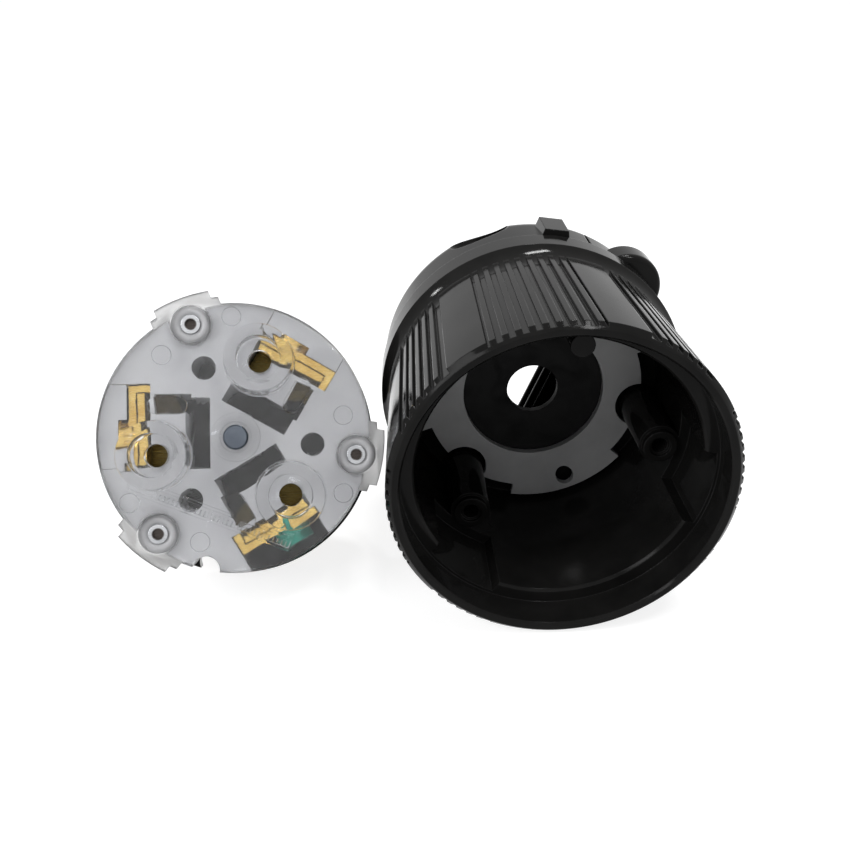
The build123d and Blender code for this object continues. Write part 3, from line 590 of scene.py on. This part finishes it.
# %% Metals
zinc_steel = rolled(
    "zinc_steel", bright=(0.62, 0.63, 0.65), tarnish=(0.46, 0.47, 0.49), gloss=(0.2, 0.38), edge=0.15
)
# The same zinc steel, with painted shade in the middle of the screw ends.
screw_steel = rolled(
    "screw_steel", bright=(0.62, 0.63, 0.65), tarnish=(0.46, 0.47, 0.49), gloss=(0.2, 0.38), edge=0.15,
    hollow_shade=(0.07, 0.06, 0.055),
)
blued_steel = rolled(
    "blued_steel", bright=(0.15, 0.17, 0.2), tarnish=(0.11, 0.125, 0.15), gloss=(0.3, 0.45), edge=0.15
)
blade_brass = rolled(
    "blade_brass", bright=(0.78, 0.6, 0.3), tarnish=(0.62, 0.45, 0.2), gloss=(0.22, 0.4), edge=0.15
)
# Its deep colour is painted shade for the brass down in the pockets.
terminal_brass = rolled(
    "terminal_brass", bright=(0.86, 0.62, 0.2), tarnish=(0.7, 0.45, 0.12), gloss=(0.16, 0.34), edge=0.12,
    deep=(0.075, 0.055, 0.018),
)
green_screw = rolled(
    "green_screw", bright=(0.028, 0.33, 0.24), tarnish=(0.016, 0.2, 0.145), gloss=(0.25, 0.42), edge=0.15,
    metal=0.75, worn=(0.12, 0.36, 0.27),
)
metals = (zinc_steel, screw_steel, blued_steel, blade_brass, terminal_brass, green_screw)
print("metals", [m.name for m in metals])

# %% [markdown]
# Dressing the solids
#
# Each solid already has the right shape, so it keeps its mesh and only swaps the plain colour in its
# material slot for the finish that the imported record names for it. The rivet is darker steel than the
# other fasteners, and the assembly screws get a steel with painted shade in the middle of their ends.

# %% Give each solid its finish
finishes = {
    "black_nylon": black_nylon,
    "white_nylon": white_nylon,
    "pale_nylon": pale_nylon,
    "seal_rubber": seal_rubber,
    "clear_cover": clear_cover,
    "zinc_steel": zinc_steel,
    "blade_brass": blade_brass,
    "terminal_brass": terminal_brass,
    "green_screw": green_screw,
}
for part in frame["record"]["subparts"]:
    solid = nodes[part["node"]]
    solid.data.materials.clear()
    solid.data.materials.append(finishes[part["material_slot"]])
nodes["centre_rivet"].data.materials[0] = blued_steel
for post in ("top", "left", "right"):
    nodes["assembly_screw_" + post].data.materials[0] = screw_steel

# %% [markdown]
# Copies that stand for solids
#
# Two mouldings need a little more than their solids have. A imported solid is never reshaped, because the
# motion tests use it too, so a copy of it is changed and stands for it. The mesh of a solid is loose
# triangles, and a modifier would see each as a piece of its own, so a copy is welded first.

# %% Copy helpers
WELD, FLAT_ANGLE, SHARP_ANGLE = 0.000002, math.radians(0.4), math.radians(32)


def merged_copy(node):
    """A smooth copy of a solid's shape, its loose triangles merged and flat ones joined."""
    shape = bmesh.new()
    shape.from_mesh(nodes[node].data)
    bmesh.ops.remove_doubles(shape, verts=shape.verts, dist=WELD)
    bmesh.ops.dissolve_limit(shape, angle_limit=FLAT_ANGLE, verts=shape.verts, edges=shape.edges)
    for face in shape.faces:
        face.smooth = True
    return shape


def as_mesh(shape, name):
    """A plain mesh of a shape, which is let go."""
    mesh = bpy.data.meshes.new(name)
    shape.to_mesh(mesh)
    shape.free()
    return mesh


def baked(holder, name):
    """The mesh of an object with its modifiers run. The object itself is taken away."""
    seen = holder.evaluated_get(bpy.context.evaluated_depsgraph_get())
    mesh = bpy.data.meshes.new_from_object(seen)
    bpy.data.objects.remove(holder)
    mesh.name = name
    return mesh


def hand_over(mesh, name):
    """Make a piece of a finished mesh. It rides on the plug."""
    piece = in_scene(name, mesh)
    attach(piece, "root")
    print(name, len(mesh.polygons), "faces")
    return piece


def stand_in(shape, name, node, finish, kind, settings):
    """Run one modifier on a copy, give it its finish, and let it stand for its node."""
    holder = in_scene(name + "_raw", as_mesh(shape, name + "_raw"))
    modifier = holder.modifiers.new(kind.lower(), kind)
    for key, value in settings.items():
        setattr(modifier, key, value)
    mesh = baked(holder, name)
    mesh.materials.clear()
    mesh.materials.append(finish)
    mesh.set_sharp_from_angle(angle=SHARP_ANGLE)
    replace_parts(hand_over(mesh, name), node)


print("copies are welded within", WELD / MM, "mm")

# %% [markdown]
# The cover with softened edges
#
# Clear plastic lives by its edges: each one is rounded a little and catches a thin line of light. The
# solid has them sharp, and turning normals alone doesn't bend what is seen through them, so the copy
# gets a real, narrow bevel. Its underside is lifted by a hair from the pale base, because two surfaces
# in exactly one plane flicker.

# %% Bevelled cover
PLATE_THICK, UNDERSIDE_GAP = 0.0022, 0.00006
BEVEL = {
    "width": 0.00012,
    "segments": 2,
    "limit_method": "ANGLE",
    "angle_limit": math.radians(40),
    "harden_normals": True,
}

to_carrier = CARRIER.inverted()
lift = CARRIER.to_3x3() @ Vector((0, 0, UNDERSIDE_GAP))
cover = merged_copy("terminal_cover")
for vert in cover.verts:
    if abs((to_carrier @ vert.co).z + PLATE_THICK) < 2 * WELD:
        vert.co += lift
stand_in(cover, "clear_terminal_cover", "terminal_cover", clear_cover, "BEVEL", BEVEL)

# %% [markdown]
# The keyway in the front
#
# A round keyway runs down the side of the carrier, so that it goes into the shell one way round only. In
# the front moulding it could be modelled face by face, but a boolean does it as a cutter would: a plain
# round bar is taken away from a copy of the solid.

# %% Keyed front
KEY_TURN, KEY_R, KEY_LONG, KEY_SIDES = 257.0, 0.00228, 0.05, 40
bar = bmesh.new()
bmesh.ops.create_cone(
    bar, cap_ends=True, segments=KEY_SIDES, radius1=KEY_R, radius2=KEY_R, depth=KEY_LONG,
    matrix=turned(KEY_TURN) @ Matrix.Translation((DISC_EDGE, 0, 0)),
)
cutter = in_scene("keyway_bar", as_mesh(bar, "keyway_bar"))
front = merged_copy("front_body")
CUT = {"operation": "DIFFERENCE", "solver": "EXACT", "object": cutter}
stand_in(front, "keyed_front_body", "front_body", black_nylon, "BOOLEAN", CUT)
bpy.data.objects.remove(cutter)

# %% [markdown]
# Cards over the live screws
#
# Beyond each live terminal the pale base is open so that a screwdriver gets in, and a thin pale card
# lies over the gap, with a notch that leaves the screw in sight. Its outer side follows the round rim, by
# the sum for a circle. A card is one outline twice, with a wall of small faces between. An extrude tool
# does that too, but it lists the faces in another order on each run, so here they are written out.

# %% Cards
TERMINAL_TURN = {"line_a": 60.0, "line_b": 180.0, "ground": 300.0}
CARD_R, CARD_IN, CARD_LOW, CARD_HIGH = 0.0225, 0.0179, -0.0091, 0.0049
NOTCH_LOW, NOTCH_HIGH, NOTCH_OUT = -0.0032, 0.0016, 0.0193
CARD_DEPTH, CARD_THICK, ARC_STEPS = 0.0023, 0.00016, 24


def pocket_card(terminal):
    """A flat card with a round outer side and a notch in its inner side."""
    name = "pocket_card_" + terminal
    rim = [CARD_LOW + (CARD_HIGH - CARD_LOW) * i / ARC_STEPS for i in range(ARC_STEPS + 1)]
    outline = [(math.sqrt(CARD_R**2 - y**2), y) for y in rim]
    outline += [(CARD_IN, CARD_HIGH), (CARD_IN, NOTCH_HIGH), (NOTCH_OUT, NOTCH_HIGH)]
    outline += [(NOTCH_OUT, NOTCH_LOW), (CARD_IN, NOTCH_LOW), (CARD_IN, CARD_LOW)]
    points = [(x, y, -depth) for depth in (CARD_DEPTH, CARD_DEPTH + CARD_THICK) for x, y in outline]
    count = len(outline)
    upper, lower = list(range(count)), list(range(count, 2 * count))
    walls = [(upper[i - 1], lower[i - 1], lower[i], upper[i]) for i in range(count)]
    mesh = bpy.data.meshes.new(name)
    mesh.from_pydata(points, [], [upper, lower[::-1], *walls])
    mesh.transform(turned(TERMINAL_TURN[terminal]))
    mesh.materials.append(pale_nylon)
    hand_over(mesh, name)


for terminal in ("line_a", "line_b"):
    pocket_card(terminal)

# %% [markdown]
# Geometry Nodes for what repeats
#
# Small things that repeat could be copied by hand, but then a change means copying again. A tree of
# geometry nodes is like a small machine with dials: sizes and counts are its named inputs, and it can be
# run again with other values. The helpers below build a tree, turn its dials, run it once and keep the
# result as a plain mesh, which is what the rest of the pipeline wants.

# %% Geometry helpers
def geometry_tree(name, inputs):
    """An empty tree with float or integer inputs, its dials, and its end node."""
    tree = bpy.data.node_groups.new(name, "GeometryNodeTree")
    for label, value in inputs.items():
        kind = "NodeSocketInt" if isinstance(value, int) else FLOAT
        socket = tree.interface.new_socket(label, in_out="INPUT", socket_type=kind)
        socket.default_value = value
    tree.interface.new_socket("Geometry", in_out="OUTPUT", socket_type="NodeSocketGeometry")
    return tree, tree.nodes.new("NodeGroupInput").outputs, tree.nodes.new("NodeGroupOutput")


def swept(tree, path, section, caps=False):
    """A section swept along a path."""
    sweep = add(tree, "GeometryNodeCurveToMesh", Curve=path.outputs[0], Fill_Caps=caps)
    fill(tree, sweep, Profile_Curve=section.outputs[0])
    return sweep.outputs[0]


def end_tree(tree, result, **wires):
    """Set a shape on points, make it real and give it its material."""
    placed = add(tree, "GeometryNodeInstanceOnPoints", **wires)
    real = add(tree, "GeometryNodeRealizeInstances", Geometry=placed.outputs[0])
    paint = add(tree, "GeometryNodeSetMaterial", Geometry=real.outputs[0])
    fill(tree, result, Geometry=paint.outputs[0])
    return paint


def run_tree(tree, paint, name, finish, slot, place, **dials):
    """Run a tree with its dials set, keep the mesh at its place, and hand it over."""
    paint.inputs["Material"].default_value = finish
    holder = in_scene(name + "_maker", bpy.data.meshes.new(name + "_maker"))
    modifier = holder.modifiers.new("maker", "NODES")
    modifier.node_group = tree
    for socket in tree.interface.items_tree:
        key = socket.name.replace(" ", "_")
        if socket.in_out == "INPUT" and key in dials:
            modifier[socket.identifier] = dials[key]
    mesh = baked(holder, name)
    mesh.transform(place)
    hand_over(mesh, name)


print("geometry helpers ready")

# %% [markdown]
# Ejector marks
#
# Pins push a moulding out of its mould, and each leaves a faint round witness line. The cover has six.
# A line in a material would have no edge to catch light, so they are thin rings set on the points of a
# circle: one ring and one count make three, and the tree runs twice.

# %% Ejector marks on the cover
MARK_R, MARK_LINE, MARK_SIDES, LINE_SIDES = 0.0016, 0.00006, 40, 6
INNER_R, OUTER_R = 0.0184, 0.0204
MARKS = {"ejector_marks_inner": (11.0, INNER_R), "ejector_marks_outer": (91.5, OUTER_R)}
marks, dial, result = geometry_tree(
    "ejector_marks",
    {"Ring Radius": MARK_R, "Line Radius": MARK_LINE, "Pitch Radius": INNER_R, "Count": 3},
)
pitch = add(marks, "GeometryNodeMeshCircle", Vertices=dial["Count"], Radius=dial["Pitch Radius"])
ring = add(marks, "GeometryNodeCurvePrimitiveCircle", Resolution=MARK_SIDES, Radius=dial["Ring Radius"])
line = add(marks, "GeometryNodeCurvePrimitiveCircle", Resolution=LINE_SIDES, Radius=dial["Line Radius"])
paint = end_tree(marks, result, Points=pitch.outputs[0], Instance=swept(marks, ring, line))
for name, (turn, pitch_r) in MARKS.items():
    run_tree(marks, paint, name, clear_cover, "clear_cover", turned(turn), Pitch_Radius=pitch_r)

# %% [markdown]
# Washers in the screw cups
#
# Each assembly screw is kept from falling out by a pale nylon washer that grips its end, down in the cup
# of the cover. A washer could be cut from a disc, but a small oblong section swept round a circle is
# already whole. Three of them stand on the points of a larger circle.

# %% Washers
WASHER_MID_R, WASHER_WIDE, WASHER_THICK, WASHER_SIDES = 0.00244, 0.0016, 0.0003, 48
WASHER_DEPTH = 0.00095
washers, dial, result = geometry_tree(
    "screw_washers",
    {
        "Mid Radius": WASHER_MID_R,
        "Wide": WASHER_WIDE,
        "Thick": WASHER_THICK,
        "Pitch Radius": POST_PITCH,
        "Count": 3,
    },
)
pitch = add(washers, "GeometryNodeMeshCircle", Vertices=dial["Count"], Radius=dial["Pitch Radius"])
ring = add(
    washers, "GeometryNodeCurvePrimitiveCircle", Resolution=WASHER_SIDES, Radius=dial["Mid Radius"]
)
section = add(
    washers, "GeometryNodeCurvePrimitiveQuadrilateral", Width=dial["Wide"], Height=dial["Thick"]
)
paint = end_tree(washers, result, Points=pitch.outputs[0], Instance=swept(washers, ring, section))
place = turned(POST_TURN) @ Matrix.Translation((0, 0, -WASHER_DEPTH))
run_tree(washers, paint, "screw_washers", washer_nylon, "pale_nylon", place)

# %% [markdown]
# Screw threads
#
# The assembly screws run down clear tubes, so their threads can be seen. A bump would vanish at the
# sides of the shank, so the thread is a real ridge that winds up it: a spiral curve with a fine round
# section, standing a little proud.

# %% Threads on the assembly screws
SHANK_R, THREAD_RIDGE, THREAD_TURNS, THREAD_LONG, THREAD_START = 0.0016, 0.00014, 16.0, 0.0128, 0.0145
STEPS_A_TURN, RIDGE_SIDES = 24, 6
threads, dial, result = geometry_tree(
    "screw_threads",
    {
        "Shank Radius": SHANK_R,
        "Ridge": THREAD_RIDGE,
        "Turns": THREAD_TURNS,
        "Length": THREAD_LONG,
        "Pitch Radius": POST_PITCH,
        "Count": 3,
    },
)
pitch = add(threads, "GeometryNodeMeshCircle", Vertices=dial["Count"], Radius=dial["Pitch Radius"])
spiral = add(
    threads, "GeometryNodeCurveSpiral", Resolution=STEPS_A_TURN, Rotations=dial["Turns"],
    Start_Radius=dial["Shank Radius"], End_Radius=dial["Shank Radius"], Height=dial["Length"],
)
section = add(threads, "GeometryNodeCurvePrimitiveCircle", Resolution=RIDGE_SIDES, Radius=dial["Ridge"])
ridge = swept(threads, spiral, section, caps=True)
paint = end_tree(threads, result, Points=pitch.outputs[0], Instance=ridge)
place = turned(POST_TURN) @ Matrix.Translation((0, 0, -THREAD_START))
run_tree(threads, paint, "screw_threads", zinc_steel, "zinc_steel", place)

# %% [markdown]
# Serrations on the terminal screws
#
# A terminal screw is often turned by hand before the driver, so its head has fine teeth round its side.
# One small bar is set on the points of a circle and turned to face outwards, which is quicker than
# cutting grooves and looks alike. The tree runs once for each screw, because the ground screw is green.

# %% Serrated screw heads
HEAD_START, HEAD_THICK, HEAD_DEPTH, HEAD_R = 0.0177, 0.0028, 0.0054, 0.0029
TOOTH, TOOTH_LONG, TEETH = 0.00022, 0.0022, 30
teeth, dial, result = geometry_tree(
    "head_serrations", {"Head Radius": HEAD_R, "Tooth": TOOTH, "Length": TOOTH_LONG, "Count": TEETH}
)
rim = add(teeth, "GeometryNodeCurvePrimitiveCircle", Resolution=dial["Count"], Radius=dial["Head Radius"])
spots = add(teeth, "GeometryNodeCurveToPoints", {"mode": "EVALUATED"}, Curve=rim.outputs[0]).outputs
size = put(teeth, "CombineXYZ", X=dial["Tooth"], Y=dial["Tooth"], Z=dial["Length"])
tooth = add(teeth, "GeometryNodeMeshCube", Size=size.outputs[0])
paint = end_tree(
    teeth, result, Points=spots["Points"], Instance=tooth.outputs[0], Rotation=spots["Rotation"]
)
on_its_side = Matrix.Rotation(math.radians(90), 4, "Y")
head_middle = Matrix.Translation((HEAD_START + HEAD_THICK / 2, 0, -HEAD_DEPTH)) @ on_its_side
for terminal, turn in TERMINAL_TURN.items():
    slot = "green_screw" if terminal == "ground" else "terminal_brass"
    place = turned(turn) @ head_middle
    run_tree(teeth, paint, "head_serrations_" + terminal, finishes[slot], slot, place)

# %% [markdown]
# Ticks in the strip gauge
#
# A raised strip on the cover shows how much of a wire to strip. All its bays but the first hold plain
# ticks. Each tick could be placed by itself, but a short row of ticks is one shape, and that row is set
# in one bay after another, so two lines of points make them all.

# %% Gauge ticks
GAUGE_TURN, GAUGE_SLIDE, GAUGE_DROP, GAUGE_LONG = -21.9, 0.00078, 0.01348, 0.0287
GAUGE_BAYS, TICKED_BAYS, FIRST_TICKED = 6, 5, -1.5
BAY = GAUGE_LONG / GAUGE_BAYS
TICKS, TICK_STEP, TICK_DROP = 5, 0.00075, 0.0003
TICK_WIDE, TICK_LONG, TICK_HIGH = 0.00022, 0.0009, 0.00015
ticks, dial, result = geometry_tree(
    "gauge_ticks",
    {
        "Bay Width": BAY,
        "Bays": TICKED_BAYS,
        "Ticks": TICKS,
        "Step": TICK_STEP,
        "Wide": TICK_WIDE,
        "Long": TICK_LONG,
        "High": TICK_HIGH,
    },
)
step = put(ticks, "CombineXYZ", X=dial["Step"])
bay_step = put(ticks, "CombineXYZ", X=dial["Bay Width"])
size = put(ticks, "CombineXYZ", X=dial["Wide"], Y=dial["Long"], Z=dial["High"])
row = add(ticks, "GeometryNodeMeshLine", Count=dial["Ticks"], Offset=step.outputs[0])
bays = add(ticks, "GeometryNodeMeshLine", Count=dial["Bays"], Offset=bay_step.outputs[0])
tick = add(ticks, "GeometryNodeMeshCube", Size=size.outputs[0])
one_bay = add(ticks, "GeometryNodeInstanceOnPoints", Points=row.outputs[0], Instance=tick.outputs[0])
paint = end_tree(ticks, result, Points=bays.outputs[0], Instance=one_bay.outputs[0])
half_row = (TICKS - 1) * TICK_STEP / 2
first_tick = (GAUGE_SLIDE + FIRST_TICKED * BAY - half_row, -GAUGE_DROP - TICK_DROP, TICK_HIGH / 2)
place = turned(GAUGE_TURN) @ Matrix.Translation(first_tick)
run_tree(ticks, paint, "gauge_ticks", clear_cover, "clear_cover", place)
